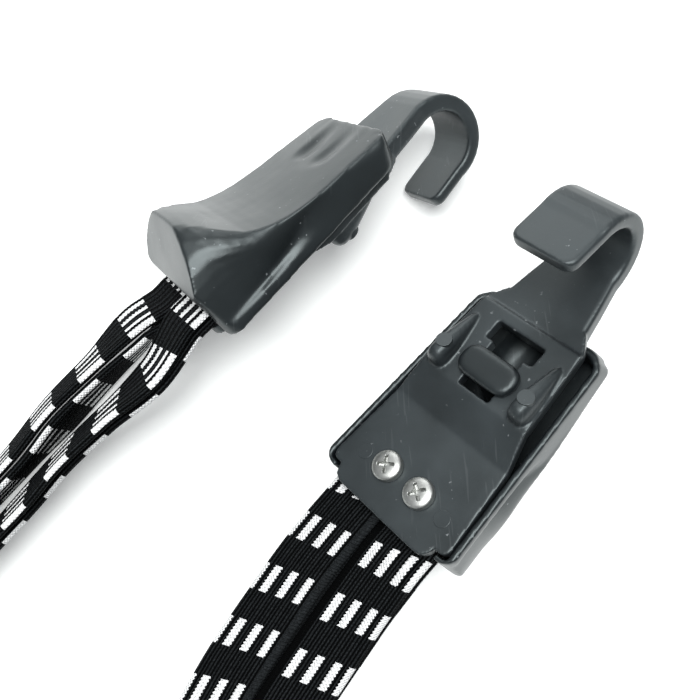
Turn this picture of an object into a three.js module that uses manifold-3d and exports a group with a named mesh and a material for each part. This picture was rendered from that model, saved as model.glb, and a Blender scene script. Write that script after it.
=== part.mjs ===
// Elastic strap for a luggage rack: two moulded hook ends joined by four flat elastic bands.
// Millimetres, +Z up. The strap lies on a table; the origin is on the table, under the middle
// of the two hook ends. An end's own frame has u forward to its hook, v across, w out of its cover.

import * as THREE from 'three';
import * as BufferGeometryUtils from 'three/addons/utils/BufferGeometryUtils.js';
import Module from 'manifold-3d';

const wasm = await Module();
wasm.setup();

// General fits
const restGap = 0.3;
const looseGap = 0.45;
const cutOverrun = 2;

// Elastic bands
const bandWidth = 15;
const bandThickness = 2;
const bandEdgeChamfer = 0.6;
const bandClampLength = 14;
const bandLeadOut = 5;
const bandLayerGap = 0.45;
const bandStepsPerPoint = 2;

// Cover: a moulded shell, open below and at its mouth
const coverLength = 56.1;
const coverWall = 1.7;
const coverRearHalfWidth = 20.1;
const coverFrontHalfWidth = 17;
const coverFrontHeight = 6.9;
const crestHeight = 23;
const crestSetBack = 8.3;
const mouthHeight = 11.8;
const mouthWall = 1.4;
const frontSetBack = 1.7;
const rearCornerRadius = 4.5;
const frontCornerRadius = 3.6;
const sideBulge = 5.1;
const creaseHeight = 3.7;
const scoopLength = 31;
const scoopDepth = 1.6;
const topCrown = 0.5;
const dishHalfWidth = 9.6;
const dishDepth = 0.5;
const dishRear = 38.3;
const grooveHalfWidth = 3.4;
const grooveDepth = 0.6;
const grooveSpacing = 8.6;
const grooveRear = 40.5;

// Hook plate: base plate and hook in one moulding
const plateThickness = 2.5;
const plateDrop = 3.26;
const frontThickness = 2.9;
const tongueSetBack = 1.5;
const tongueHalfWidth = 14.5;
const tongueCornerRadius = 3.5;
const lobeCornerRadius = 1.75;
const notchDepth = 3.3;
const lobeHalfWidth = 17.4;
const rampStart = 22.65;
const rampEnd = 30.85;
const rampEndHalfWidth = 14.95;
const shoulderStart = 51.5;
const shoulderHalfWidth = 13.4;
const plateStep = 51;
const plateFront = 55.7;
const slotRear = 31.6;
const slotFront = 43.3;
const slotHalfWidth = 4.2;
const keyFront = 47.85;
const keyHalfWidth = 6.4;

// Ribs under the plate
const ribRear = 31.3;
const ribFront = 46.2;
const ribHeight = 4.2;
const ribMiddle = 11.6;
const ribHalfWidth = 2.35;

// Hook
const hookRootHalfWidth = 10.6;
const hookBendHalfWidth = 7.95;
const hookBendCentre = 68.45;
const hookInnerRadius = 7.57;
const hookShankThickness = 4.4;
const hookTipThickness = 3;
const hookShankUnder = 2.6;
const hookTipLength = 10.2;
const hookTipFlare = 0.15;
const hookTipCorner = 2.4;
const hookEdge = 1;

// Locking post of the cover, turned into the plate's window
const postCentre = 37.2;
const postRadius = 3.6;
const headHalfLength = 3.8;
const headHalfWidth = 7.5;
const headEdge = 0.7;
const headThickness = 2;

// Screws
const screwPlace = 8;
const screwSpacing = 9.7;
const screwHeadRadius = 3.45;
const screwHeadHeight = 2.1;
const screwShankRadius = 1.6;
const screwLength = 13;
const crossArm = 4.2;
const crossWidth = 0.9;
const crossDepth = 1.2;
const crossTurnDegrees = 35;
const bossRadius = 3.3;

// Places of the two ends on the table: middle of each end's rear edge, and its turns in degrees
const leftEndX = -39.9;
const leftEndY = 0.8;
const leftEndTurn = [-48.4, -5.2, 46.1];
const rightEndX = -0.5;
const rightEndY = -44.6;
const rightEndTurn = [150.9, -6.1, 47.9];

// Routes of the two pairs of free bands from the left mouth round to the right one: x, y and z of
// the pair's middle, and the lean of the bands from upright, in degrees, positive away from the
// loop. Where its plate-side band parts from the other, how much further that one leans, their
// upper edges together, and how far it hangs down.
const outerPairRoute = [
  [-56, -1.1, 11.6, -41, 28, 0],
  [-65.6, -11.2, 10.2, -31, 25, 0],
  [-75.1, -21.2, 9.2, -28, 27, 0],
  [-83.2, -32.2, 8.4, -27, 19, 0],
  [-97.3, -48.7, 8.1, -21, 14, 0],
  [-112.4, -64.9, 7.9, -12, 7, 0],
  [-127.9, -83.5, 7.7, -3],
  [-139.8, -100.2, 7.7, 0],
  [-151.5, -124, 7.7, 0],
  [-151.8, -148.3, 7.7, 0],
  [-140, -168.7, 7.7, 0],
  [-119, -180.1, 7.7, 0],
  [-95.1, -179, 7.7, 5],
  [-74, -166, 8.1, 18],
  [-59.5, -149.3, 7.8, 35],
  [-46.8, -132.4, 7.2, 51],
  [-36.4, -116.3, 8.8, 63],
  [-28, -100.7, 10.3, 69],
  [-20.3, -87.6, 10.1, 71],
  [-11.7, -75, 12.8, 68],
  [-3.3, -63, 16.6, 64],
];
const innerPairRoute = [
  [-48.8, -14.5, 21.8, -38, 0, 1],
  [-58.7, -23.5, 18.6, -27, 0, 2.4],
  [-68.6, -32.3, 15.2, -25, 0, 3],
  [-77.5, -41.9, 12.2, -26, 0, 2.8],
  [-90.2, -56, 10.4, -20, 0, 1.8],
  [-104.8, -72.1, 9, -11, 0, 0.8],
  [-120, -89.6, 8.1, -3],
  [-132.1, -106.2, 7.8, 0],
  [-142.6, -126.6, 7.7, 0],
  [-142.8, -145.7, 7.7, 0],
  [-133.6, -162, 7.7, 0],
  [-116.8, -171, 7.7, 0],
  [-98.4, -169.6, 7.7, 5],
  [-83, -158.5, 8.1, 18],
  [-70.4, -142.4, 7.3, 35],
  [-59.6, -124.8, 6.4, 51],
  [-49.6, -108, 5.5, 63],
  [-40.4, -93.3, 5.1, 69],
  [-32.3, -79.4, 5.1, 71],
  [-23.6, -66.7, 7.2, 68],
  [-15.1, -55, 10.2, 64],
];

const bandBottom = plateThickness + restGap;
const bandPitch = bandThickness + bandLayerGap;
const bossBottom = bandBottom + 2 * bandPitch;
const bandSideOffset = (bandWidth + restGap) / 2;
const mouthHalfWidth = bandSideOffset + bandWidth / 2 + looseGap;
const holeRadius = screwShankRadius + restGap;

const degrees = Math.PI / 180;
const cornerSteps = 4;
const edgeSteps = 3;
const roundSides = 28;

const coverPlastic = new THREE.MeshStandardMaterial({ color: 0x2b3033, roughness: 0.42, metalness: 0 });
const platePlastic = new THREE.MeshStandardMaterial({ color: 0x2e3436, roughness: 0.45, metalness: 0 });
const zincSteel = new THREE.MeshStandardMaterial({ color: 0xb4b6b4, roughness: 0.3, metalness: 1 });
const blackElastic = new THREE.MeshStandardMaterial({ color: 0x141414, roughness: 0.9, metalness: 0 });

function solidOf(geometry) {
  const bare = geometry.clone();
  bare.deleteAttribute('normal');
  bare.deleteAttribute('uv');
  const merged = BufferGeometryUtils.mergeVertices(bare);
  const mesh = new wasm.Mesh({
    numProp: 3,
    vertProperties: new Float32Array(merged.attributes.position.array),
    triVerts: new Uint32Array(merged.index.array),
  });
  return new wasm.Manifold(mesh);
}

function geometryOf(solid) {
  const mesh = solid.getMesh();
  const geometry = new THREE.BufferGeometry();
  geometry.setAttribute('position', new THREE.BufferAttribute(new Float32Array(mesh.vertProperties), 3));
  geometry.setIndex(new THREE.BufferAttribute(new Uint32Array(mesh.triVerts), 1));
  geometry.computeVertexNormals();
  return geometry;
}

// A closed body through rings of as many points each, closed by a fan at both ends.
function loft(rings) {
  const count = rings[0].length;
  const positions = rings.flat().flatMap((point) => [point.x, point.y, point.z]);
  const triangles = [];
  for (let ring = 0; ring + 1 < rings.length; ring += 1) {
    for (let side = 0; side < count; side += 1) {
      const here = ring * count + side;
      const next = ring * count + (side + 1) % count;
      triangles.push(here, next, next + count, here, next + count, here + count);
    }
  }
  const last = (rings.length - 1) * count;
  for (let side = 1; side + 1 < count; side += 1) {
    triangles.push(0, side + 1, side, last, last + side, last + side + 1);
  }
  const geometry = new THREE.BufferGeometry();
  geometry.setAttribute('position', new THREE.Float32BufferAttribute(positions, 3));
  geometry.setIndex(triangles);
  return geometry;
}

function rounded(corners, radius, steps = cornerSteps) {
  const shape = [];
  corners.forEach((corner, index) => {
    const before = corners[(index + corners.length - 1) % corners.length];
    const after = corners[(index + 1) % corners.length];
    const size = corner[2] === undefined ? radius : corner[2];
    const place = new THREE.Vector2(corner[0], corner[1]);
    const back = new THREE.Vector2(before[0], before[1]).sub(place);
    const on = new THREE.Vector2(after[0], after[1]).sub(place);
    if (size === 0) {
      shape.push(place);
      return;
    }
    const backShare = before[2] === 0 ? 1 : 1 / 2;
    const onShare = after[2] === 0 ? 1 : 1 / 2;
    const half = back.angleTo(on) / 2;
    const reach = Math.min(size / Math.tan(half), back.length() * backShare, on.length() * onShare);
    const start = place.clone().addScaledVector(back.normalize(), reach);
    const end = place.clone().addScaledVector(on.normalize(), reach);
    for (let step = 0; step <= steps; step += 1) {
      const share = step / steps;
      const towards = start.clone().lerp(place, share);
      shape.push(towards.lerp(place.clone().lerp(end, share), share));
    }
  });
  return shape;
}

// A side profile given as (u, w) points, extruded across v.
function acrossPrism(points, halfWidth) {
  const shape = new THREE.Shape(points);
  const geometry = new THREE.ExtrudeGeometry(shape, { depth: 2 * halfWidth, bevelEnabled: false });
  geometry.rotateX(Math.PI / 2);
  geometry.translate(0, halfWidth, 0);
  return solidOf(geometry);
}

// A plan outline given as (u, v) points, extruded along w.
function uprightPrism(points, low, high) {
  const shape = new THREE.Shape(points);
  const geometry = new THREE.ExtrudeGeometry(shape, { depth: high - low, bevelEnabled: false });
  geometry.translate(0, 0, low);
  return solidOf(geometry);
}

function uprightCylinder(radius, low, high, u, v) {
  const geometry = new THREE.CylinderGeometry(radius, radius, high - low, roundSides);
  geometry.rotateX(Math.PI / 2);
  geometry.translate(u, v, (low + high) / 2);
  return solidOf(geometry);
}

function tableSlope(table, row) {
  const from = table[Math.max(row - 1, 0)];
  const to = table[Math.min(row + 1, table.length - 1)];
  return (to[1] - from[1]) / (to[0] - from[0]);
}

// The value of a table of [place, value] rows at a place, on a smooth curve through its rows.
function alongTable(table, place) {
  const after = table.findIndex((row) => row[0] >= place);
  if (after === -1) {
    return table[table.length - 1][1];
  }
  if (after === 0) {
    return table[0][1];
  }
  const [startPlace, startValue] = table[after - 1];
  const [endPlace, endValue] = table[after];
  const span = endPlace - startPlace;
  const share = (place - startPlace) / span;
  const square = share * share;
  const cube = square * share;
  const risen = 3 * square - 2 * cube;
  const leaving = tableSlope(table, after - 1) * span * (cube - 2 * square + share);
  const arriving = tableSlope(table, after) * span * (cube - square);
  return startValue + (endValue - startValue) * risen + leaving + arriving;
}

// Cover: top height and half-width along the cover, as shares of its own sizes
const topHeightShares = [
  [0, 1], [0.06, 0.905], [0.12, 0.782], [0.2, 0.613], [0.28, 0.525], [0.36, 0.463],
  [0.45, 0.419], [0.58, 0.38], [0.72, 0.354], [0.86, 0.326], [1, 0.3],
];
const topHalfWidthShares = [
  [0, 0.408], [0.06, 0.56], [0.12, 0.697], [0.2, 0.826], [0.28, 0.875], [0.36, 0.9],
  [0.45, 0.911], [0.58, 0.897], [0.72, 0.863], [0.86, 0.823], [1, 0.778],
];
const sideBulgeShares = [[0, 0], [0.25, 0.5], [0.5, 0.88], [0.7, 1], [0.86, 0.68], [1, 0]];
const creaseShares = [[0, 0.96], [0.35, 0.9], [0.6, 1.04], [0.8, 1.36], [1, 2.15]];
const scoopShares = [[0, 0.2], [0.3, 0.75], [0.55, 1], [0.8, 0.8], [1, 0.1], [1.15, 0]];
const draftShare = 0.04;
const flankShare = 0.8;
const stepsBehindCrest = 5;
const stepsOnTop = 20;
const stepsBeyondFront = 2;
const sideSteps = 8;
const topSteps = 4;
const headCornerSteps = 6;
const channelFacet = 1.6;

function coverSection(u, inset) {
  const topLength = coverLength - crestSetBack;
  const share = (u - crestSetBack) / topLength;
  const rimShare = THREE.MathUtils.clamp(u / coverLength, 0, 1);
  const rimHalfWidth = THREE.MathUtils.lerp(coverRearHalfWidth, coverFrontHalfWidth, rimShare);
  const topHeight = crestHeight * alongTable(topHeightShares, share);
  const topHalf = coverRearHalfWidth * alongTable(topHalfWidthShares, share);
  const scoopShare = Math.max(u / scoopLength, 0);
  const crease = Math.min(creaseHeight * alongTable(creaseShares, scoopShare), flankShare * topHeight);
  const rimTop = Math.min(bandBottom, crease);
  const creaseHalf = rimHalfWidth - draftShare * crease - scoopDepth * alongTable(scoopShares, scoopShare);
  const bulgeLeft = THREE.MathUtils.clamp((scoopLength - u) / (scoopLength - crestSetBack), 0, 1);
  const bulge = sideBulge * bulgeLeft * bulgeLeft;
  const half = [
    [rimHalfWidth - inset, -cutOverrun],
    [rimHalfWidth - draftShare * rimTop - inset, rimTop],
    [creaseHalf - inset, crease],
  ];
  for (let step = 1; step <= sideSteps; step += 1) {
    const rise = step / sideSteps;
    const straight = THREE.MathUtils.lerp(creaseHalf, topHalf, rise);
    const out = straight + bulge * alongTable(sideBulgeShares, rise);
    half.push([out - inset, THREE.MathUtils.lerp(crease, topHeight - inset, rise)]);
  }
  for (let step = 1; step <= topSteps; step += 1) {
    const outward = 1 - step / topSteps;
    const crown = topCrown * (1 - outward * outward);
    half.push([(topHalf - inset) * outward, topHeight - inset + crown]);
  }
  const left = half.map(([v, w]) => new THREE.Vector3(u, v, w));
  const right = half.slice(0, -1).map(([v, w]) => new THREE.Vector3(u, -v, w)).reverse();
  return [...left, ...right];
}

function coverLoft(inset) {
  const stationPitch = (coverLength - crestSetBack) / stepsOnTop;
  const sections = [];
  for (let station = -stepsBehindCrest; station <= stepsOnTop + stepsBeyondFront; station += 1) {
    sections.push(coverSection(crestSetBack + station * stationPitch, inset));
  }
  return solidOf(loft(sections));
}

function coverOutline(inset) {
  const rear = coverRearHalfWidth + cutOverrun - inset;
  const front = coverFrontHalfWidth + cutOverrun - inset;
  const rearCorner = coverRearHalfWidth - inset;
  const points = [
    [inset, -rearCorner, rearCornerRadius],
    [rearCornerRadius + inset, -rearCorner, 0],
    [rearCornerRadius + inset, -rear, 0],
    [coverLength - frontCornerRadius, -front, 0],
    [coverLength - frontCornerRadius, -coverFrontHalfWidth + inset, 0],
    [coverLength - inset, -coverFrontHalfWidth + inset, frontCornerRadius],
  ];
  const mirrored = points.map(([u, v, size]) => [u, -v, size]).reverse();
  return rounded([...points, ...mirrored], 0);
}

// A channel with a round rear end, sunk into the top and open at the front.
function channel(rear, middle, halfWidth, depth, grown) {
  const radius = (halfWidth * halfWidth + depth * depth) / (2 * depth);
  const length = 2 * (coverLength - rear);
  const start = rear + halfWidth;
  const slope = Math.atan2(topHeightAt(coverLength) - topHeightAt(start), coverLength - start);
  const quarterSteps = Math.ceil(Math.PI / 2 * radius / channelFacet);
  const body = new THREE.CapsuleGeometry(radius + grown, length, quarterSteps, 4 * quarterSteps);
  body.rotateZ(Math.PI / 2);
  body.translate(length / 2, 0, radius - depth);
  body.rotateY(-slope);
  body.translate(start, middle, topHeightAt(start) + topCrown);
  return solidOf(body);
}

// The thumb recess: a wide shallow dish with two finger grooves in it
function thumbRecess(grown) {
  let recess = channel(dishRear, 0, dishHalfWidth, dishDepth, grown);
  for (const sideSign of [-1, 1]) {
    const groove = channel(
      grooveRear, sideSign * grooveSpacing / 2, grooveHalfWidth, dishDepth + grooveDepth, grown,
    );
    recess = recess.add(groove);
  }
  return recess;
}

function makeCover() {
  const farOut = coverRearHalfWidth + cutOverrun;
  const high = crestHeight + cutOverrun;
  const outerSide = acrossPrism([
    new THREE.Vector2(0, 0),
    new THREE.Vector2(coverLength - frontSetBack, 0),
    new THREE.Vector2(coverLength, coverFrontHeight),
    new THREE.Vector2(coverLength, high),
    new THREE.Vector2(crestSetBack, high),
    new THREE.Vector2(crestSetBack, crestHeight),
    new THREE.Vector2(0, mouthHeight),
  ], farOut);
  const outer = coverLoft(0).intersect(outerSide)
    .intersect(uprightPrism(coverOutline(0), -cutOverrun, high));

  const innerFront = coverLength - frontSetBack - coverWall;
  const innerSide = acrossPrism([
    new THREE.Vector2(mouthWall, -2 * cutOverrun),
    new THREE.Vector2(innerFront, -2 * cutOverrun),
    new THREE.Vector2(innerFront, high),
    new THREE.Vector2(crestSetBack + coverWall, high),
    new THREE.Vector2(crestSetBack + coverWall, crestHeight - coverWall),
    new THREE.Vector2(mouthWall + coverWall, mouthHeight),
    new THREE.Vector2(mouthWall, mouthHeight - coverWall),
  ], farOut);
  const inner = coverLoft(coverWall).intersect(innerSide).subtract(thumbRecess(coverWall));
  const mouth = uprightPrism([
    new THREE.Vector2(-cutOverrun, -mouthHalfWidth),
    new THREE.Vector2(mouthWall + cutOverrun, -mouthHalfWidth),
    new THREE.Vector2(mouthWall + cutOverrun, mouthHalfWidth),
    new THREE.Vector2(-cutOverrun, mouthHalfWidth),
  ], -cutOverrun, mouthHeight - coverWall);

  const shankNotch = uprightPrism([
    new THREE.Vector2(innerFront - cutOverrun, -hookRootHalfWidth - restGap),
    new THREE.Vector2(coverLength + cutOverrun, -hookRootHalfWidth - restGap),
    new THREE.Vector2(coverLength + cutOverrun, hookRootHalfWidth + restGap),
    new THREE.Vector2(innerFront - cutOverrun, hookRootHalfWidth + restGap),
  ], -cutOverrun, hookShankThickness - hookShankUnder + restGap);

  let cover = outer.subtract(inner).subtract(mouth).subtract(shankNotch);
  for (const side of [-1, 1]) {
    const v = side * screwSpacing / 2;
    const bossTop = topHeightAt(screwPlace) - coverWall / 2;
    const boss = uprightCylinder(bossRadius, bossBottom, bossTop, screwPlace, v).intersect(outer);
    const pilot = uprightCylinder(holeRadius, 0, screwLength + 2 * restGap, screwPlace, v);
    cover = cover.add(boss).subtract(pilot);
  }
  const headTop = -plateDrop - restGap;
  const postTop = topHeightAt(postCentre) - coverWall / 2;
  const neck = uprightCylinder(postRadius, headTop - headThickness / 2, postTop, postCentre, 0);
  const headBottom = headTop - headThickness;
  const head = solidOf(loft([
    headRing(headTop, 0),
    headRing(headBottom + headEdge, 0),
    headRing(headBottom, headEdge),
  ]));
  return geometryOf(cover.add(neck).add(head).subtract(thumbRecess(0)));
}

// The outline of the post's oval head at a height, drawn in by an inset.
function headRing(w, inset) {
  const halfLength = headHalfLength - inset;
  const halfWidth = headHalfWidth - inset;
  const outline = rounded([
    [postCentre - halfLength, -halfWidth],
    [postCentre + halfLength, -halfWidth],
    [postCentre + halfLength, halfWidth],
    [postCentre - halfLength, halfWidth],
  ], halfLength, headCornerSteps);
  return outline.map((point) => new THREE.Vector3(point.x, point.y, w)).reverse();
}

function topHeightAt(u) {
  return crestHeight * alongTable(topHeightShares, (u - crestSetBack) / (coverLength - crestSetBack));
}

// Hook plate
function plateOutline() {
  const clearance = coverWall + looseGap;
  const rearHalf = coverRearHalfWidth - clearance;
  const rampHalf = THREE.MathUtils.lerp(
    coverRearHalfWidth, coverFrontHalfWidth, rampStart / coverLength,
  ) - clearance - restGap;
  const innerCorner = mouthWall + restGap;
  const points = [
    [-tongueSetBack, -tongueHalfWidth, tongueCornerRadius],
    [notchDepth - tongueSetBack, -tongueHalfWidth - restGap, 0],
    [innerCorner, -lobeHalfWidth, lobeCornerRadius],
    [innerCorner + lobeCornerRadius, -rearHalf, 0],
    [rampStart, -rampHalf, 0],
    [rampEnd, -rampEndHalfWidth, 0],
    [shoulderStart, -shoulderHalfWidth, tongueCornerRadius],
    [plateFront, -hookRootHalfWidth, 0],
  ];
  const mirrored = points.map(([u, v, size]) => [u, -v, size]).reverse();
  return rounded([...points, ...mirrored], 0);
}

function makePlateBody() {
  const side = acrossPrism([
    new THREE.Vector2(-tongueSetBack, 0),
    new THREE.Vector2(rampStart, 0),
    new THREE.Vector2(rampEnd, -plateDrop),
    new THREE.Vector2(plateStep, -plateDrop),
    new THREE.Vector2(plateStep, -hookShankUnder),
    new THREE.Vector2(plateFront, -hookShankUnder),
    new THREE.Vector2(plateFront, frontThickness - plateDrop),
    new THREE.Vector2(rampEnd, frontThickness - plateDrop),
    new THREE.Vector2(rampStart, plateThickness),
    new THREE.Vector2(-tongueSetBack, plateThickness),
  ], coverRearHalfWidth);
  const reach = plateDrop + plateThickness;
  let plate = side.intersect(uprightPrism(plateOutline(), -reach, reach));
  const window = uprightPrism([
    new THREE.Vector2(slotRear, -slotHalfWidth),
    new THREE.Vector2(slotFront, -slotHalfWidth),
    new THREE.Vector2(slotFront, -keyHalfWidth),
    new THREE.Vector2(keyFront, -keyHalfWidth),
    new THREE.Vector2(keyFront, keyHalfWidth),
    new THREE.Vector2(slotFront, keyHalfWidth),
    new THREE.Vector2(slotFront, slotHalfWidth),
    new THREE.Vector2(slotRear, slotHalfWidth),
  ], -reach, reach);
  plate = plate.subtract(window);
  for (const sideSign of [-1, 1]) {
    plate = plate.subtract(
      uprightCylinder(holeRadius, -reach, reach, screwPlace, sideSign * screwSpacing / 2),
    );
    plate = plate.add(makeRib(sideSign));
  }
  return plate;
}

// A rib's half-width and depth along its length, as shares of its own sizes
const ribSectionShares = [
  [0, 0.3, 0.25], [0.02, 0.62, 0.6], [0.07, 0.88, 0.86], [0.15, 1, 0.99], [0.28, 1, 0.97], [0.42, 0.94, 0.84],
  [0.58, 0.8, 0.66], [0.74, 0.62, 0.47], [0.88, 0.46, 0.3], [0.97, 0.3, 0.17], [1, 0.12, 0.08],
];
const ribSteps = 10;
const ribSquareShare = 0.72;

function makeRib(sideSign) {
  const root = frontThickness / 2 - plateDrop;
  const rings = ribSectionShares.map(([along, width, depth]) => {
    const u = THREE.MathUtils.lerp(ribRear, ribFront, along);
    const middle = sideSign * ribMiddle;
    const ring = [
      new THREE.Vector3(u, middle - width * ribHalfWidth, root),
      new THREE.Vector3(u, middle + width * ribHalfWidth, root),
    ];
    for (let step = 0; step <= ribSteps; step += 1) {
      const angle = Math.PI * step / ribSteps;
      const sideways = Math.sign(Math.cos(angle)) * Math.abs(Math.cos(angle)) ** ribSquareShare;
      const down = Math.sin(angle) ** ribSquareShare;
      ring.push(new THREE.Vector3(
        u, middle + sideways * width * ribHalfWidth, -plateDrop - down * depth * ribHeight,
      ));
    }
    return ring.reverse();
  });
  return solidOf(loft(rings));
}

// Hook: a flat bar with rounded edges that runs forward, turns under and ends in a short tip
const bendSteps = 16;
const shankSteps = 3;
const largestEdgeShare = 1 / 3;
const tipCornerSteps = 5;

function hookStation(place, normal, halfWidth, thickness) {
  const edge = Math.min(hookEdge, thickness * largestEdgeShare);
  const across = rounded([
    [-halfWidth, 0], [halfWidth, 0], [halfWidth, thickness], [-halfWidth, thickness],
  ], edge, edgeSteps);
  return across.map((point) => new THREE.Vector3(
    place.x + normal.x * point.y, point.x, place.y + normal.y * point.y,
  ));
}

function makeHook() {
  const centreHeight = -hookShankUnder - hookInnerRadius;
  const rings = [];
  const shankStart = keyFront + restGap;
  for (let step = 0; step < shankSteps; step += 1) {
    const u = THREE.MathUtils.lerp(shankStart, hookBendCentre, step / shankSteps);
    const halfWidth = u < plateFront
      ? hookRootHalfWidth
      : THREE.MathUtils.mapLinear(u, plateFront, hookBendCentre, hookRootHalfWidth, hookBendHalfWidth);
    const place = new THREE.Vector2(u, -hookShankUnder);
    rings.push(hookStation(place, new THREE.Vector2(0, 1), halfWidth, hookShankThickness));
  }
  for (let step = 0; step <= bendSteps; step += 1) {
    const share = step / bendSteps;
    const angle = Math.PI / 2 - share * Math.PI;
    const normal = new THREE.Vector2(Math.cos(angle), Math.sin(angle));
    const place = new THREE.Vector2(hookBendCentre, centreHeight).addScaledVector(normal, hookInnerRadius);
    const thickness = THREE.MathUtils.lerp(hookShankThickness, hookTipThickness, share);
    rings.push(hookStation(place, normal, hookBendHalfWidth, thickness));
  }
  const tipAway = new THREE.Vector2(-Math.cos(hookTipFlare), -Math.sin(hookTipFlare));
  const tipNormal = new THREE.Vector2(Math.sin(hookTipFlare), -Math.cos(hookTipFlare));
  const tipRoot = new THREE.Vector2(hookBendCentre, centreHeight - hookInnerRadius);
  for (let step = 0; step <= tipCornerSteps; step += 1) {
    const angle = step / tipCornerSteps * Math.PI / 2;
    const along = hookTipLength - hookTipCorner * (1 - Math.sin(angle));
    const halfWidth = hookBendHalfWidth - hookTipCorner * (1 - Math.cos(angle));
    const thinning = step === tipCornerSteps ? hookEdge : 0;
    const place = tipRoot.clone().addScaledVector(tipAway, along).addScaledVector(tipNormal, thinning / 2);
    rings.push(hookStation(place, tipNormal, halfWidth, hookTipThickness - thinning));
  }
  return solidOf(loft(rings));
}

function makePlate() {
  return geometryOf(makePlateBody().add(makeHook()));
}

// Screw: pan head with a cross recess. The head's profile is given as shares of its radius and
// height, and the point's as shares of the shank's radius.
const screwHeadShares = [[0, 1], [0.4, 0.95], [0.8, 0.767], [1, 0.333], [1, 0]];
const screwPointWidthShare = 1 / 3;
const screwPointLengthShare = 2;

function makeScrew() {
  const head = screwHeadShares.map(([out, high]) => (
    new THREE.Vector2(out * screwHeadRadius, -restGap - high * screwHeadHeight)
  ));
  const shank = [
    new THREE.Vector2(screwShankRadius, -restGap),
    new THREE.Vector2(screwShankRadius, screwLength - screwPointLengthShare * screwShankRadius),
    new THREE.Vector2(screwPointWidthShare * screwShankRadius, screwLength),
    new THREE.Vector2(0, screwLength),
  ];
  const body = new THREE.LatheGeometry([...head, ...shank], roundSides);
  body.rotateX(Math.PI / 2);
  let screw = solidOf(body);
  for (const turn of [0, 1]) {
    const arm = new THREE.BoxGeometry(
      turn ? crossWidth : crossArm, turn ? crossArm : crossWidth, 2 * crossDepth,
    );
    arm.translate(0, 0, -restGap - screwHeadHeight);
    screw = screw.subtract(solidOf(arm));
  }
  return geometryOf(screw);
}

// An end stands on the table with its lowest point, whatever its size.
function makeEnd(side, x, y, turn) {
  const end = new THREE.Group();
  const cover = new THREE.Mesh(makeCover(), coverPlastic);
  cover.name = `${side}_cover`;
  const plate = new THREE.Mesh(makePlate(), platePlastic);
  plate.name = `${side}_hook_plate`;
  end.add(cover, plate);
  [-1, 1].forEach((sign, index) => {
    const screw = new THREE.Mesh(makeScrew(), zincSteel);
    screw.name = `${side}_screw_${index + 1}`;
    screw.position.set(screwPlace, sign * screwSpacing / 2, 0);
    screw.rotation.z = sign * crossTurnDegrees * degrees;
    end.add(screw);
  });
  end.rotation.set(turn[0] * degrees, turn[1] * degrees, turn[2] * degrees, 'ZYX');
  end.position.set(x, y, 0);
  end.updateMatrixWorld(true);
  end.position.z = -new THREE.Box3().setFromObject(end, true).min.z;
  end.updateMatrixWorld(true);
  return end;
}

// Elastic band: clamped straight in each end, flat side to the plate, and free between the mouths
const clampSteps = 6;

function clampedStretch(end, side, inwards) {
  const stretch = [];
  for (let step = 0; step <= clampSteps; step += 1) {
    const u = THREE.MathUtils.lerp(-bandLeadOut, bandClampLength, step / clampSteps);
    const place = new THREE.Vector3(u, side * bandSideOffset, bandBottom + bandPitch - bandLayerGap / 2);
    const across = new THREE.Vector3(0, inwards, 0).transformDirection(end.matrixWorld);
    stretch.push({ place: end.localToWorld(place), across });
  }
  return stretch;
}

function leaning(upright, outside, lean) {
  return upright.clone().multiplyScalar(Math.cos(lean)).addScaledVector(outside, Math.sin(lean));
}

function freeStretch(route, layer) {
  const places = route.map(([x, y, z]) => new THREE.Vector3(x, y, z));
  return places.map((place, index) => {
    const before = places[Math.max(index - 1, 0)];
    const after = places[Math.min(index + 1, places.length - 1)];
    const travel = after.clone().sub(before).normalize();
    const outside = new THREE.Vector3(travel.y, -travel.x, 0).normalize();
    const upright = outside.clone().cross(travel).normalize();
    const [lean, furtherLean = 0, drop = 0] = route[index].slice(3);
    const across = leaning(upright, outside, lean * degrees);
    if (layer > 0) {
      return { place, across };
    }
    const parted = leaning(upright, outside, (lean + furtherLean) * degrees);
    const upperEdge = place.clone().addScaledVector(across, bandWidth / 2);
    return { place: upperEdge.addScaledVector(parted, -bandWidth / 2 - drop), across: parted };
  });
}

// The section's corners, across and through the band
function bandSection() {
  const half = bandWidth / 2;
  const thick = bandThickness / 2;
  return [
    [-half, -thick + bandEdgeChamfer], [-half + bandEdgeChamfer, -thick],
    [half - bandEdgeChamfer, -thick], [half, -thick + bandEdgeChamfer],
    [half, thick - bandEdgeChamfer], [half - bandEdgeChamfer, thick],
    [-half + bandEdgeChamfer, thick], [-half, thick - bandEdgeChamfer],
  ];
}

function makeBand(stretch, layer) {
  const line = new THREE.CatmullRomCurve3(stretch.map((point) => point.place), false, 'centripetal');
  const turns = new THREE.CatmullRomCurve3(stretch.map((point) => point.across), false, 'centripetal');
  const samples = (stretch.length - 1) * bandStepsPerPoint;
  const rings = [];
  for (let sample = 0; sample <= samples; sample += 1) {
    const share = sample / samples;
    const travel = line.getTangent(share);
    const across = turns.getPoint(share);
    across.addScaledVector(travel, -across.dot(travel)).normalize();
    const outwards = travel.clone().cross(across);
    const middle = line.getPoint(share).addScaledVector(outwards, layer * bandPitch / 2);
    rings.push(bandSection().map(([wide, thick]) => (
      middle.clone().addScaledVector(across, wide).addScaledVector(outwards, thick)
    )));
  }
  return solidOf(loft(rings));
}

function screwHoles(end) {
  const holes = [-1, 1].map((sign) => {
    const hole = new THREE.CylinderGeometry(holeRadius, holeRadius, bossBottom + cutOverrun, roundSides);
    hole.rotateX(Math.PI / 2);
    hole.translate(screwPlace, sign * screwSpacing / 2, bossBottom / 2);
    hole.applyMatrix4(end.matrixWorld);
    return solidOf(hole);
  });
  return holes[0].add(holes[1]);
}

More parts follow.
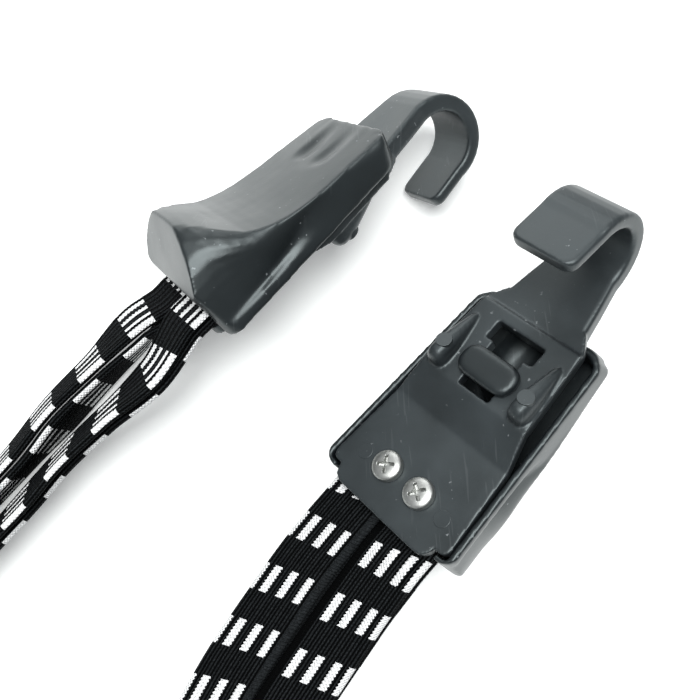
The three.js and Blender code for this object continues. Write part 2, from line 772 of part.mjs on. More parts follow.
const object = new THREE.Group();
object.name = 'luggage_rack_strap';
const leftEnd = makeEnd('left', leftEndX, leftEndY, leftEndTurn);
const rightEnd = makeEnd('right', rightEndX, rightEndY, rightEndTurn);
object.add(leftEnd, rightEnd);

const holes = screwHoles(leftEnd).add(screwHoles(rightEnd));
const pairs = [
  { name: 'outer', side: 1, route: outerPairRoute },
  { name: 'inner', side: -1, route: innerPairRoute },
];
for (const pair of pairs) {
  for (const [layerName, layer] of [['cover_side', 1], ['plate_side', -1]]) {
    const stretch = [
      ...clampedStretch(leftEnd, pair.side, -1).reverse(),
      ...freeStretch(pair.route, layer),
      ...clampedStretch(rightEnd, pair.side, 1),
    ];
    const band = new THREE.Mesh(geometryOf(makeBand(stretch, layer).subtract(holes)), blackElastic);
    band.name = `${pair.name}_band_${layerName}`;
    object.add(band);
  }
}
object.updateMatrixWorld(true);

export default object;
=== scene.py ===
import math

import bmesh
import bpy
from mathutils import Matrix, Vector


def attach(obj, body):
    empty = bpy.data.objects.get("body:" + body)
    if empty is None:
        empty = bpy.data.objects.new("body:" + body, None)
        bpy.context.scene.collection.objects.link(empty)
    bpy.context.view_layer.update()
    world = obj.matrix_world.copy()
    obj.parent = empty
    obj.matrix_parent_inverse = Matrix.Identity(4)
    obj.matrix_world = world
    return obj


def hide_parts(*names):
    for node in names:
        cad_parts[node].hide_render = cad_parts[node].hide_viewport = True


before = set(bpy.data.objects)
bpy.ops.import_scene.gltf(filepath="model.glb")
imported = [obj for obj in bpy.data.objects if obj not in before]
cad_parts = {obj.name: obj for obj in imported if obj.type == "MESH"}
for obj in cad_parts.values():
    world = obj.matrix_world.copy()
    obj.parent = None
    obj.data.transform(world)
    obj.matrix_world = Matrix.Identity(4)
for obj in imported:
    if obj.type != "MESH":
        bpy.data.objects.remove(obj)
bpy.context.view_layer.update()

# Camera: a hand's length above the table and in front of the strap, looking almost straight down.
# The picture is square, and its sensor is 36 mm wide.
camera_data = bpy.data.cameras.new("photo_camera")
camera_data.sensor_width = 36
camera_data.lens = 40.64
camera = bpy.data.objects.new("photo_camera", camera_data)
bpy.context.scene.collection.objects.link(camera)
looking = Vector((0.0451, 0.2077, -0.9771)).normalized()
picture_up = Vector((0, 0.9781, 0.208)).normalized()
picture_right = looking.cross(picture_up).normalized()
camera.matrix_world = Matrix.Translation((-0.0143, -0.0463, 0.1939)) @ Matrix(
    (picture_right, picture_right.cross(looking), -looking)
).transposed().to_4x4()
bpy.context.scene.camera = camera


# Elastic bands: four lengths of flat woven elastic, 15 mm wide and 2 mm thick, two side by side in
# two layers. Each is clamped flat in both hook ends, and runs free in one loop over the table.
BAND_WIDTH = 0.015
BAND_THICKNESS = 0.002
BAND_LAYER_GAP = 0.0001
BAND_EDGES_CLOSER = 0.0009
BAND_SIDE_OFFSET = 0.00765
BAND_MIDDLE_HEIGHT = 0.005025
CLAMP_PLACES = (-0.005, -0.00183, 0.00133, 0.0045, 0.00767, 0.01083, 0.014)
# Middle of each pair, and its lean from upright in degrees. Where the plate-side band parts from
# the other, how much further that one leans, upper edges together, and how far it hangs down.
OUTER_PAIR_ROUTE = (
    (-0.056, -0.0011, 0.0116, -41, 28, 0), (-0.0656, -0.0112, 0.0102, -31, 25, 0),
    (-0.0751, -0.0212, 0.0092, -28, 27, 0), (-0.0832, -0.0322, 0.0084, -27, 19, 0),
    (-0.0973, -0.0487, 0.0081, -21, 14, 0), (-0.1124, -0.0649, 0.0079, -12, 7, 0),
    (-0.1279, -0.0835, 0.0077, -3), (-0.1398, -0.1002, 0.0077, 0),
    (-0.1515, -0.124, 0.0077, 0), (-0.1518, -0.1483, 0.0077, 0),
    (-0.14, -0.1687, 0.0077, 0), (-0.119, -0.1801, 0.0077, 0),
    (-0.0951, -0.179, 0.0077, 5), (-0.074, -0.166, 0.0081, 18),
    (-0.0595, -0.1493, 0.0078, 35), (-0.0468, -0.1324, 0.0072, 51),
    (-0.0364, -0.1163, 0.0088, 63), (-0.028, -0.1007, 0.0103, 69),
    (-0.0203, -0.0876, 0.0101, 71), (-0.0117, -0.075, 0.0128, 68),
    (-0.0033, -0.063, 0.0166, 64),
)
INNER_PAIR_ROUTE = (
    (-0.0488, -0.0145, 0.0218, -38, 0, 0.001), (-0.0587, -0.0235, 0.0186, -27, 0, 0.0024),
    (-0.0686, -0.0323, 0.0152, -25, 0, 0.003), (-0.0775, -0.0419, 0.0122, -26, 0, 0.0028),
    (-0.0902, -0.056, 0.0104, -20, 0, 0.0018), (-0.1048, -0.0721, 0.009, -11, 0, 0.0008),
    (-0.12, -0.0896, 0.0081, -3), (-0.1321, -0.1062, 0.0078, 0),
    (-0.1426, -0.1266, 0.0077, 0), (-0.1428, -0.1457, 0.0077, 0),
    (-0.1336, -0.162, 0.0077, 0), (-0.1168, -0.171, 0.0077, 0),
    (-0.0984, -0.1696, 0.0077, 5), (-0.083, -0.1585, 0.0081, 18),
    (-0.0704, -0.1424, 0.0073, 35), (-0.0596, -0.1248, 0.0064, 51),
    (-0.0496, -0.108, 0.0055, 63), (-0.0404, -0.0933, 0.0051, 69),
    (-0.0323, -0.0794, 0.0051, 71), (-0.0236, -0.0667, 0.0072, 68),
    (-0.0151, -0.055, 0.0102, 64),
)


def end_matrix(place, roll, pitch, yaw):
    turn = Matrix.Rotation(math.radians(yaw), 4, "Z")
    turn @= Matrix.Rotation(math.radians(pitch), 4, "Y")
    turn @= Matrix.Rotation(math.radians(roll), 4, "X")
    return Matrix.Translation(place) @ turn


# An end's frame: x towards its hook, y across, z out of its cover
ENDS = {
    "left": end_matrix((-0.0399, 0.0008, 0.014538), -48.4, -5.2, 46.1),
    "right": end_matrix((-0.0005, -0.0446, 0.023302), 150.9, -6.1, 47.9),
}


def clamped_stretch(matrix, side, across_sign):
    across = (matrix.to_3x3() @ Vector((0, across_sign, 0))).normalized()
    places = [Vector((u, side * BAND_SIDE_OFFSET, BAND_MIDDLE_HEIGHT)) for u in CLAMP_PLACES]
    return [(matrix @ place, across.copy()) for place in places]


def free_stretch(route, layer):
    places = [Vector(row[:3]) for row in route]
    stretch = []
    for index, row in enumerate(route):
        before = places[max(index - 1, 0)]
        after = places[min(index + 1, len(places) - 1)]
        travel = (after - before).normalized()
        outside = Vector((travel.y, -travel.x, 0)).normalized()
        upright = outside.cross(travel).normalized()
        further, drop = (row[4], row[5]) if layer < 0 and len(row) > 4 else (0, 0)
        lean, parted = math.radians(row[3]), math.radians(row[3] + further)
        upper = upright * math.cos(lean) + outside * math.sin(lean)
        across = upright * math.cos(parted) + outside * math.sin(parted)
        place = places[index] + upper * (BAND_WIDTH / 2) - across * (BAND_WIDTH / 2 + drop)
        place += outside * (BAND_EDGES_CLOSER * math.sin(math.radians(further)))
        stretch.append((place, across))
    return stretch


def spline_point(points, index, share):
    """A point of the centripetal curve through the points, between one point and the next."""
    here, there = points[index], points[index + 1]
    before = points[index - 1] if index else here * 2 - there
    after = points[index + 2] if index + 2 < len(points) else there * 2 - here
    steps = [max((b - a).length, 1e-9) ** 0.5 for a, b in ((before, here), (here, there), (there, after))]
    leave = (here - before) / steps[0] - (there - before) / (steps[0] + steps[1]) + (there - here) / steps[1]
    arrive = (there - here) / steps[1] - (after - here) / (steps[1] + steps[2]) + (after - there) / steps[2]
    leave *= steps[1]
    arrive *= steps[1]
    square, cube = share * share, share ** 3
    return (
        here * (2 * cube - 3 * square + 1) + leave * (cube - 2 * square + share)
        + there * (3 * square - 2 * cube) + arrive * (cube - square)
    )


def band_line(side, route, layer):
    """Points, travel and width directions between the layers, where one band of a pair runs."""
    stretch = clamped_stretch(ENDS["left"], side, -1)[::-1] + free_stretch(route, layer)
    stretch += clamped_stretch(ENDS["right"], side, 1)
    places = [place for place, _ in stretch]
    widths = [across for _, across in stretch]
    middles, acrosses = [], []
    for index in range(len(places) - 1):
        steps = max(2, round((places[index + 1] - places[index]).length / 0.0013))
        for step in range(steps):
            middles.append(spline_point(places, index, step / steps))
            acrosses.append(spline_point(widths, index, step / steps))
    middles.append(places[-1])
    acrosses.append(widths[-1])
    line = []
    for index, middle in enumerate(middles):
        before = middles[max(index - 1, 0)]
        after = middles[min(index + 1, len(middles) - 1)]
        travel = (after - before).normalized()
        across = acrosses[index] - travel * acrosses[index].dot(travel)
        line.append((middle, travel, across.normalized()))
    return line


RIB_PITCH = 0.00125
RIB_DEPTH = 0.00024
STEPS_ACROSS_HALF = 30
STEPS_ROUND_EDGE = 4


def band_section():
    """The woven section, ribbed on both flat sides, with round edges, as a right and a left half.
    Each point is its place across, its place through, and its way round from the outer middle."""
    half_flat = (BAND_WIDTH - BAND_THICKNESS) / 2
    quarter = []
    for step in range(STEPS_ACROSS_HALF + 1):
        wide = half_flat * step / STEPS_ACROSS_HALF
        rib = RIB_DEPTH * abs(math.cos(math.pi * wide / RIB_PITCH))
        quarter.append((wide, BAND_THICKNESS / 2 - RIB_DEPTH + rib))
    radius = BAND_THICKNESS / 2
    for step in range(1, STEPS_ROUND_EDGE + 1):
        angle = math.pi / 2 * (1 - step / STEPS_ROUND_EDGE)
        quarter.append((half_flat + radius * math.cos(angle), radius * math.sin(angle)))
    half = quarter + [(wide, -thick) for wide, thick in quarter[-2::-1]]
    ways = [0.0]
    for first, second in zip(half, half[1:]):
        flat = max(first[0], second[0]) <= half_flat
        ways.append(ways[-1] + (abs(second[0] - first[0]) if flat else math.dist(first, second)))
    right = [(wide, thick, way) for (wide, thick), way in zip(half, ways)]
    left = [(-wide, thick, -way) for wide, thick, way in right[1:-1]]
    return right, left[::-1]


def elastic_material():
    """Black woven elastic: fine ribs, a nubby weft, and rows of white dashes with ragged edges."""
    material = bpy.data.materials.new("woven_elastic")
    material.use_nodes = True
    tree = material.node_tree
    shader = tree.nodes["Principled BSDF"]
    shader.inputs["Roughness"].default_value = 0.85
    shader.inputs["IOR"].default_value = 1.35
    shader.inputs["Specular IOR Level"].default_value = 0.08
    uv_map = tree.nodes.new("ShaderNodeUVMap")
    uv_map.uv_map = "band"
    parts = tree.nodes.new("ShaderNodeSeparateXYZ")
    tree.links.new(uv_map.outputs["UV"], parts.inputs["Vector"])

    def sum_of(operation, first, second=0.0, third=0.0):
        node = tree.nodes.new("ShaderNodeMath")
        node.operation = operation
        for socket, value in zip(node.inputs, (first, second, third)):
            if isinstance(value, (int, float)):
                socket.default_value = value
            else:
                tree.links.new(value, socket)
        return node.outputs["Value"]

    # Along is counted in dashes, and across in millimetres from the middle of the outer side
    along, across = parts.outputs["X"], parts.outputs["Y"]
    dash_share, column_pitch, half_dash, tooth_depth, teeth = 0.48, 4.05, 0.66, 0.34, 17
    in_dash = sum_of("LESS_THAN", sum_of("FRACT", along), dash_share)
    column = sum_of("ROUND", sum_of("DIVIDE", across, column_pitch))
    off_centre = sum_of("SUBTRACT", across, sum_of("MULTIPLY", column, column_pitch))
    side_shift = sum_of("MULTIPLY", sum_of("SIGN", off_centre), 0.25)
    saw = sum_of("FRACT", sum_of("ADD", sum_of("MULTIPLY", along, teeth), side_shift))
    tooth = sum_of("MULTIPLY", sum_of("ABSOLUTE", sum_of("SUBTRACT", saw, 0.5)), 2 * tooth_depth)
    in_column = sum_of("LESS_THAN", sum_of("ABSOLUTE", off_centre), sum_of("ADD", tooth, half_dash))
    inside = sum_of("LESS_THAN", sum_of("ABSOLUTE", column), 1.5)
    middle_dash = sum_of("MULTIPLY", in_column, inside)
    way = sum_of("ABSOLUTE", across)
    edge_start, edge_end = 6.6, 8.15
    edge_from = sum_of("GREATER_THAN", way, sum_of("SUBTRACT", edge_start, tooth))
    edge_dash = sum_of("MULTIPLY", edge_from, sum_of("LESS_THAN", way, edge_end))
    white = sum_of("MULTIPLY", in_dash, sum_of("MAXIMUM", middle_dash, edge_dash))

    place = tree.nodes.new("ShaderNodeTexCoord")
    speckle = tree.nodes.new("ShaderNodeTexNoise")
    speckle.inputs["Scale"].default_value = 2600.0
    speckle.inputs["Detail"].default_value = 3.0
    tree.links.new(place.outputs["Object"], speckle.inputs["Vector"])
    ridge_pitch = 0.8
    weft = sum_of("SINE", sum_of("MULTIPLY", along, 2 * math.pi * teeth))
    ridges = sum_of("SINE", sum_of("MULTIPLY", across, 2 * math.pi / ridge_pitch))
    # The black is painted lighter along the rib lines, a painted highlight on the rib tops, broken up by
    # random speckle
    rib_top_highlight = sum_of("MULTIPLY_ADD", ridges, 0.5, 0.5)
    black = tree.nodes.new("ShaderNodeValToRGB")
    black.color_ramp.elements[0].position = 0.15
    black.color_ramp.elements[0].color = (0.0004, 0.0005, 0.0006, 1)
    black.color_ramp.elements[1].position = 0.7
    black.color_ramp.elements[1].color = (0.022, 0.025, 0.027, 1)
    tree.links.new(sum_of("MULTIPLY", rib_top_highlight, speckle.outputs["Fac"]), black.inputs["Fac"])
    thread = tree.nodes.new("ShaderNodeValToRGB")
    thread.color_ramp.elements[0].position = 0.2
    thread.color_ramp.elements[0].color = (0.5, 0.51, 0.515, 1)
    thread.color_ramp.elements[1].position = 0.5
    thread.color_ramp.elements[1].color = (0.76, 0.77, 0.77, 1)
    tree.links.new(speckle.outputs["Fac"], thread.inputs["Fac"])
    colour = tree.nodes.new("ShaderNodeMix")
    colour.data_type = "RGBA"
    tree.links.new(white, colour.inputs["Factor"])
    tree.links.new(black.outputs["Color"], colour.inputs["A"])
    tree.links.new(thread.outputs["Color"], colour.inputs["B"])
    tree.links.new(colour.outputs["Result"], shader.inputs["Base Color"])

    weave = sum_of("ADD", sum_of("MULTIPLY", weft, ridges), speckle.outputs["Fac"])
    bump = tree.nodes.new("ShaderNodeBump")
    bump.inputs["Strength"].default_value = 0.9
    bump.inputs["Distance"].default_value = 0.0002
    tree.links.new(weave, bump.inputs["Height"])
    tree.links.new(bump.outputs["Normal"], shader.inputs["Normal"])
    return material


# Each band's dashes: the millimetres from one to the next, and where the first lies. At the right
# end the rows are pulled askew.
BANDS = (
    ("outer", "cover_side", 1, 1, 15.0, 7.5),
    ("outer", "plate_side", 1, -1, 14.535, -1.73),
    ("inner", "cover_side", -1, 1, 14.8, 11.2),
    ("inner", "plate_side", -1, -1, 14.1, 4.3),
)
ROUTES = {"outer": OUTER_PAIR_ROUTE, "inner": INNER_PAIR_ROUTE}
SKEW = 0.38
SKEWED_LENGTH = 0.19
SKEW_GROWS_OVER = 0.06
SEAM_WAY = 0.0059
woven_elastic = elastic_material()
for pair_name, layer_name, side, layer, dash_pitch, first_dash in BANDS:
    name = f"{pair_name}_band_{layer_name}"
    line = band_line(side, ROUTES[pair_name], layer)
    centres = [
        middle + travel.cross(across) * (layer * (BAND_THICKNESS + BAND_LAYER_GAP) / 2)
        for middle, travel, across in line
    ]
    gone = [0.0]
    for first, second in zip(centres, centres[1:]):
        gone.append(gone[-1] + (second - first).length)
    right, left = band_section()
    section = right + left
    band = bmesh.new()
    uv_layer = band.loops.layers.uv.new("band")
    rings = []
    for centre, (_, travel, across) in zip(centres, line):
        outwards = travel.cross(across) * layer
        rings.append([
            band.verts.new(centre + across * wide + outwards * thick) for wide, thick, _ in section
        ])
    for ring in range(len(rings) - 1):
        for index in range(len(section)):
            following = (index + 1) % len(section)
            face = band.faces.new((
                rings[ring][index], rings[ring][following],
                rings[ring + 1][following], rings[ring + 1][index],
            ))
            face.smooth = True
            # The two ways round meet on the far side of the section
            sign = -1 if index == len(right) - 1 else 1
            corners = (
                (ring, index, sign), (ring, following, 1), (ring + 1, following, 1), (ring + 1, index, sign),
            )
            for loop, (at, point, turned) in zip(face.loops, corners):
                wide, _, way = section[point]
                pulled = (gone[at] - gone[-1] + SKEWED_LENGTH) / SKEW_GROWS_OVER
                pulled = max(0.0, min(1.0, pulled))
                travelled = (gone[at] - SKEW * pulled * wide) * 1000
                # In the seam of the right stretch the edges' dashes are left out: painted shade where the
                # edges lie in the seam's shadow
                if pulled > 0 and wide * side < 0:
                    way = max(-SEAM_WAY, min(SEAM_WAY, way))
                loop[uv_layer].uv = ((travelled - first_dash) / dash_pitch, turned * way * 1000)
    band.faces.new(rings[0][::-1])
    band.faces.new(rings[-1])
    bmesh.ops.recalc_face_normals(band, faces=band.faces)
    mesh = bpy.data.meshes.new(name + "_woven")
    band.to_mesh(mesh)
    band.free()
    mesh.materials.append(woven_elastic)
    piece = bpy.data.objects.new(name + "_woven", mesh)
    bpy.context.scene.collection.objects.link(piece)
    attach(piece, "root")
    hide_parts(name)


# Covers: moulded shells of black satin plastic with soft edges, a tall rear crest, scooped sides
# and a thumb recess, screwed down over the elastic and locked by a post with an oval head.
def moulded(node_name, piece_name, voxel, rounds):
    """A finer copy of a moulding, with its edges softened."""
    source = bmesh.new()
    source.from_mesh(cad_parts[node_name].data)
    bmesh.ops.remove_doubles(source, verts=source.verts, dist=1e-6)
    mesh = bpy.data.meshes.new(piece_name)
    source.to_mesh(mesh)
    source.free()
    piece = bpy.data.objects.new(piece_name, mesh)
    bpy.context.scene.collection.objects.link(piece)
    finer = piece.modifiers.new("finer", "REMESH")
    finer.mode = "VOXEL"
    finer.voxel_size = voxel
    finer.use_smooth_shade = True
    soften = piece.modifiers.new("soften", "SMOOTH")
    soften.factor = 0.5
    soften.iterations = rounds
    shaped = bpy.data.meshes.new_from_object(piece.evaluated_get(bpy.context.evaluated_depsgraph_get()))
    piece.modifiers.clear()
    piece.data = shaped
    return piece


def plastic_material(name, base, roughness):
    """Black satin plastic with faint cloudy flow marks, fine scratches and a few pale specks."""
    material = bpy.data.materials.new(name)
    material.use_nodes = True
    tree = material.node_tree
    shader = tree.nodes["Principled BSDF"]
    shader.inputs["IOR"].default_value = 1.55
    shader.inputs["Specular Tint"].default_value = (0.88, 0.99, 1, 1)
    place = tree.nodes.new("ShaderNodeTexCoord")

    def noise(scale, detail, stretch=(1, 1, 1), turn=0.0):
        mapping = tree.nodes.new("ShaderNodeMapping")
        mapping.inputs["Scale"].default_value = stretch
        mapping.inputs["Rotation"].default_value = (0, 0, turn)
        tree.links.new(place.outputs["Object"], mapping.inputs["Vector"])
        texture = tree.nodes.new("ShaderNodeTexNoise")
        texture.inputs["Scale"].default_value = scale
        texture.inputs["Detail"].default_value = detail
        tree.links.new(mapping.outputs["Vector"], texture.inputs["Vector"])
        return texture.outputs["Fac"]

    def ramp(source, start, end):
        node = tree.nodes.new("ShaderNodeMapRange")
        node.inputs["From Min"].default_value = start
        node.inputs["From Max"].default_value = end
        tree.links.new(source, node.inputs["Value"])
        return node.outputs["Result"]

    def product(first, second):
        node = tree.nodes.new("ShaderNodeMath")
        node.operation = "MULTIPLY"
        tree.links.new(first, node.inputs[0])
        if isinstance(second, float):
            node.inputs[1].default_value = second
        else:
            tree.links.new(second, node.inputs[1])
        return node.outputs["Value"]

    cloud = noise(70.0, 5.0)
    shade = tree.nodes.new("ShaderNodeValToRGB")
    shade.color_ramp.elements[0].position = 0.3
    shade.color_ramp.elements[0].color = (*[0.65 * value for value in base], 1)
    shade.color_ramp.elements[1].position = 0.72
    shade.color_ramp.elements[1].color = (*[1.35 * value for value in base], 1)
    tree.links.new(cloud, shade.inputs["Fac"])

    # Pale specks, and thin scratches that run mostly one way
    specks = product(ramp(noise(950.0, 1.0), 0.73, 0.76), ramp(noise(120.0, 2.0), 0.5, 0.6))
    streaks = ramp(noise(160.0, 0.0, (12, 0.6, 1), 0.9), 0.71, 0.74)
    scratches = product(streaks, ramp(noise(60.0, 1.0), 0.52, 0.6))
    marks = tree.nodes.new("ShaderNodeMath")
    marks.operation = "MAXIMUM"
    tree.links.new(specks, marks.inputs[0])
    tree.links.new(product(scratches, 0.12), marks.inputs[1])
    colour = tree.nodes.new("ShaderNodeMix")
    colour.data_type = "RGBA"
    colour.inputs["B"].default_value = (0.12, 0.13, 0.135, 1)
    tree.links.new(marks.outputs["Value"], colour.inputs["Factor"])
    tree.links.new(shade.outputs["Color"], colour.inputs["A"])
    tree.links.new(colour.outputs["Result"], shader.inputs["Base Color"])

    gloss = tree.nodes.new("ShaderNodeMapRange")
    gloss.inputs["To Min"].default_value = roughness - 0.1
    gloss.inputs["To Max"].default_value = roughness + 0.1
    tree.links.new(cloud, gloss.inputs["Value"])
    tree.links.new(gloss.outputs["Result"], shader.inputs["Roughness"])

    grain = tree.nodes.new("ShaderNodeBump")
    grain.inputs["Strength"].default_value = 0.35
    grain.inputs["Distance"].default_value = 0.00004
    tree.links.new(noise(1200.0, 3.0), grain.inputs["Height"])
    waves = tree.nodes.new("ShaderNodeBump")
    waves.inputs["Strength"].default_value = 0.5
    waves.inputs["Distance"].default_value = 0.0002
    tree.links.new(noise(110.0, 1.0), waves.inputs["Height"])
    tree.links.new(grain.outputs["Normal"], waves.inputs["Normal"])
    tree.links.new(waves.outputs["Normal"], shader.inputs["Normal"])
    return material


def eased_share(value, start, end):
    share = max(0.0, min(1.0, (value - start) / (end - start)))
    return share * share * (3 - 2 * share)


# The crest in full, which the solid's dish shaves flat: sections one pitch apart, each with its
# half-width and height from the middle of the side to the edge of the top
CREST_PITCH = 0.00239
CREST_SET_BACK = 0.0083
CREST_START, CREST_END = 0.005, 0.0154
CREST_FOOT = 0.0155
CREST_HALF_WIDTH = 0.015
CREST_FULL_HALF_WIDTH = 0.014
MOST_SHAVED = 0.0045
FACES_UP = 0.25
TOP_CROWN = 0.0005
REAR_FACE_FOOT = 0.0118
REAR_FACE_RISE = 1.349
CREST_SECTIONS = (
    ((0.01778, 0.01316), (0.01711, 0.01562), (0.01558, 0.01808), (0.01266, 0.02054), (0.0082, 0.023)),
    ((0.01801, 0.01227), (0.01758, 0.01451), (0.01646, 0.01674), (0.01423, 0.01898), (0.01076, 0.02122)),
    ((0.01827, 0.01118), (0.01807, 0.01312), (0.01734, 0.01507), (0.01574, 0.01701), (0.01317, 0.01896)),
    ((0.01843, 0.01), (0.01841, 0.01161), (0.01799, 0.01323), (0.01691, 0.01484), (0.01512, 0.01645)),
)


def section_height(section, v):
    half, top = section[-1]
    if v <= half:
        return top + TOP_CROWN * (1 - (v / half) ** 2)
    for (wide, low), (narrow, high) in zip(section, section[1:]):
        if narrow <= v <= wide:
            return high + (low - high) * (v - narrow) / (wide - narrow)
    return 0.0


def crest_height(u, v):
    row = max(0.0, min(len(CREST_SECTIONS) - 1.001, (u - CREST_SET_BACK) / CREST_PITCH))
    here, there = CREST_SECTIONS[int(row)], CREST_SECTIONS[int(row) + 1]
    height = section_height(here, abs(v)) * (1 - row % 1) + section_height(there, abs(v)) * (row % 1)
    return min(height, REAR_FACE_FOOT + REAR_FACE_RISE * u)


def raise_crest(cover, matrix):
    """Lifts the outer skin of the shaved crest to its full height."""
    to_end = matrix.inverted()
    turn = to_end.to_3x3()
    moved = []
    for vertex in cover.data.vertices:
        u, v, w = to_end @ vertex.co
        if not (CREST_START < u < CREST_END and w > CREST_FOOT and abs(v) < CREST_HALF_WIDTH):
            continue
        height = crest_height(u, v)
        if (turn @ vertex.normal).z > FACES_UP and 0 < height - w < MOST_SHAVED:
            fade = 1 - eased_share(abs(v), CREST_FULL_HALF_WIDTH, CREST_HALF_WIDTH)
            moved.append((vertex, matrix @ Vector((u, v, w + fade * (height - w)))))
    for vertex, place in moved:
        vertex.co = place


# Middle, half-width and depth of the thumb recess's dish and of its two grooves. They fade out
# before the front edge, and the sides turn the front corners in a wide bend.
CHANNELS = ((0, 0.0096, 0.0005), (0.0043, 0.0034, 0.0011), (-0.0043, 0.0034, 0.0011))
CHANNELS_FADE_FROM, CHANNELS_FADE_TO = 0.045, 0.056
CHANNEL_SHARE_FILLED = 0.9
COVER_LENGTH = 0.0561
FRONT_START = 0.042
FRONT_EDGE = 0.002
BESIDE_RECESS = 0.01
FRONT_HALF_WIDTH = 0.017
SIDES_LEAN_IN = 0.0014
FRONT_SET_BACK = 0.0017
FRONT_HEIGHT = 0.0069
FRONT_CORNER = 0.0048
CORNER_TIGHTER_ABOVE = 0.35
# From the top down, all of the wall's vertices are raised over the first depth, and none below the next
SKIN_DEPTH, WALL_DEPTH = 0.0012, 0.004


def recess_depth(v):
    depth = 0.0
    for middle, half_width, deepest in CHANNELS:
        radius = (half_width ** 2 + deepest ** 2) / (2 * deepest)
        if abs(v - middle) < half_width:
            depth = max(depth, math.sqrt(radius ** 2 - (v - middle) ** 2) - radius + deepest)
    return depth


def shape_front(cover, matrix, places):
    """Fills the recess towards the front edge, and rounds the front corners. Gives the top's height."""
    top = max(w for u, v, w in places if u > COVER_LENGTH - FRONT_EDGE and abs(v) > BESIDE_RECESS)
    for vertex, (u, v, w) in zip(cover.data.vertices, places):
        if u < FRONT_START:
            continue
        fade = eased_share(u, CHANNELS_FADE_FROM, CHANNELS_FADE_TO)
        fade *= eased_share(w, top - WALL_DEPTH, top - SKIN_DEPTH)
        rib_top_highlight = w + CHANNEL_SHARE_FILLED * fade * recess_depth(v)
        height_share = max(0.0, min(1.0, w / FRONT_HEIGHT))
        corner = FRONT_CORNER * (1 - CORNER_TIGHTER_ABOVE * height_share)
        past_u = u - COVER_LENGTH + FRONT_SET_BACK * (1 - height_share) + corner
        past_v = abs(v) - FRONT_HALF_WIDTH + SIDES_LEAN_IN * height_share + corner
        if past_u > 0 and past_v > 0:
            drawn_in = 1 - max(past_u, past_v) / math.hypot(past_u, past_v)
            u -= past_u * drawn_in
            v -= math.copysign(past_v * drawn_in, v)
        vertex.co = matrix @ Vector((u, v, rib_top_highlight))
    return top


RIM_ROUNDS = 12
RIM_HEIGHT = 0.013
RIM_STEP = 0.0005
CREST_ROUNDS = 5
RECESS_ROUNDS = 18


def wear_edges(cover, places, top):
    """Rounds the edges, the rim's more than the crest's, whose thin ridge it would wear away."""
    worn = bmesh.new()
    worn.from_mesh(cover.data)
    worn.verts.ensure_lookup_table()

    def wear(rounds, chosen):
        chosen = [worn.verts[index] for index in chosen]
        for _ in range(rounds):
            bmesh.ops.smooth_vert(
                worn, verts=chosen, factor=0.5, use_axis_x=True, use_axis_y=True, use_axis_z=True,
            )

    for step in range(RIM_ROUNDS):
        below = RIM_HEIGHT - RIM_STEP * step
        wear(1, [index for index, (u, v, w) in enumerate(places) if w < below])
    wear(CREST_ROUNDS, [
        index for index, (u, v, w) in enumerate(places) if 0.004 < u < 0.0175 and w > 0.0145
    ])
    wear(RECESS_ROUNDS, [
        index for index, (u, v, w) in enumerate(places)
        if u > 0.037 and abs(v) < 0.0105 and w > top - SKIN_DEPTH
    ])
    worn.to_mesh(cover.data)
    worn.free()


cover_plastic = plastic_material("cover_plastic", (0.0045, 0.0062, 0.0074), 0.4)
for end_name, matrix in ENDS.items():
    cover = moulded(f"{end_name}_cover", f"{end_name}_cover_moulding", 0.00037, 3)
    raise_crest(cover, matrix)
    places = [matrix.inverted() @ vertex.co for vertex in cover.data.vertices]
    top = shape_front(cover, matrix, places)
    wear_edges(cover, places, top)
    cover.data.materials.clear()
    cover.data.materials.append(cover_plastic)
    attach(cover, "root")
    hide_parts(f"{end_name}_cover")


# Hook plates: base plate and hook in one moulding of the same plastic, with a keyhole window, two
# ribs, and the round marks that the mould's ejector pins left beside the screws and on the ribs.
plate_plastic = plastic_material("plate_plastic", (0.014, 0.0172, 0.0192), 0.42)
# Each mark's place in the end's frame, radius, thickness, and its slope in degrees
EJECTOR_MARKS = (
    (0.0073, 0.012, 0.0, 0.0019, 0.0006, 0), (0.0073, -0.012, 0.0, 0.0019, 0.0006, 0),
    (0.0366, 0.0116, -0.007, 0.0019, 0.0014, -14), (0.0366, -0.0116, -0.007, 0.0019, 0.0014, -14),
)
MARK_STANDS_OUT = 0.00012
for end_name, matrix in ENDS.items():
    plate = moulded(f"{end_name}_hook_plate", f"{end_name}_hook_moulding", 0.00033, 4)
    plate.data.materials.clear()
    plate.data.materials.append(plate_plastic)
    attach(plate, "root")
    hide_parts(f"{end_name}_hook_plate")

    marks = bmesh.new()
    for u, v, w, radius, thickness, slope in EJECTOR_MARKS:
        turned = Matrix.Translation((u, v, w)) @ Matrix.Rotation(math.radians(slope), 4, "Y")
        disc = bmesh.ops.create_cone(
            marks, cap_ends=True, segments=40, radius1=radius, radius2=radius, depth=thickness,
            matrix=matrix @ turned @ Matrix.Translation((0, 0, thickness / 2 - MARK_STANDS_OUT)),
        )
        rim = {edge for vertex in disc["verts"] for edge in vertex.link_edges}
        rim = [edge for edge in rim if any(len(face.verts) > 4 for face in edge.link_faces)]
        bmesh.ops.bevel(marks, geom=rim, offset=0.0001, segments=2, affect="EDGES", profile=0.5)
    marks_mesh = bpy.data.meshes.new(f"{end_name}_ejector_marks")
    marks.to_mesh(marks_mesh)
    marks.free()
    marks_mesh.materials.append(plate_plastic)
    ejector_marks = bpy.data.objects.new(f"{end_name}_ejector_marks", marks_mesh)
    bpy.context.scene.collection.objects.link(ejector_marks)
    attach(ejector_marks, "root")


# Screws: zinc-plated pan heads with a cross recess, driven through the plate and the elastic into
# the cover's bosses. Each is a domed head whose cross is sunk into it, on a plain shank.
SCREW_PLACE = 0.008
SCREW_SPACING = 0.0097
HEAD_RADIUS = 0.00345
HEAD_HEIGHT = 0.0021
SHANK_RADIUS = 0.0016
SCREW_LENGTH = 0.013


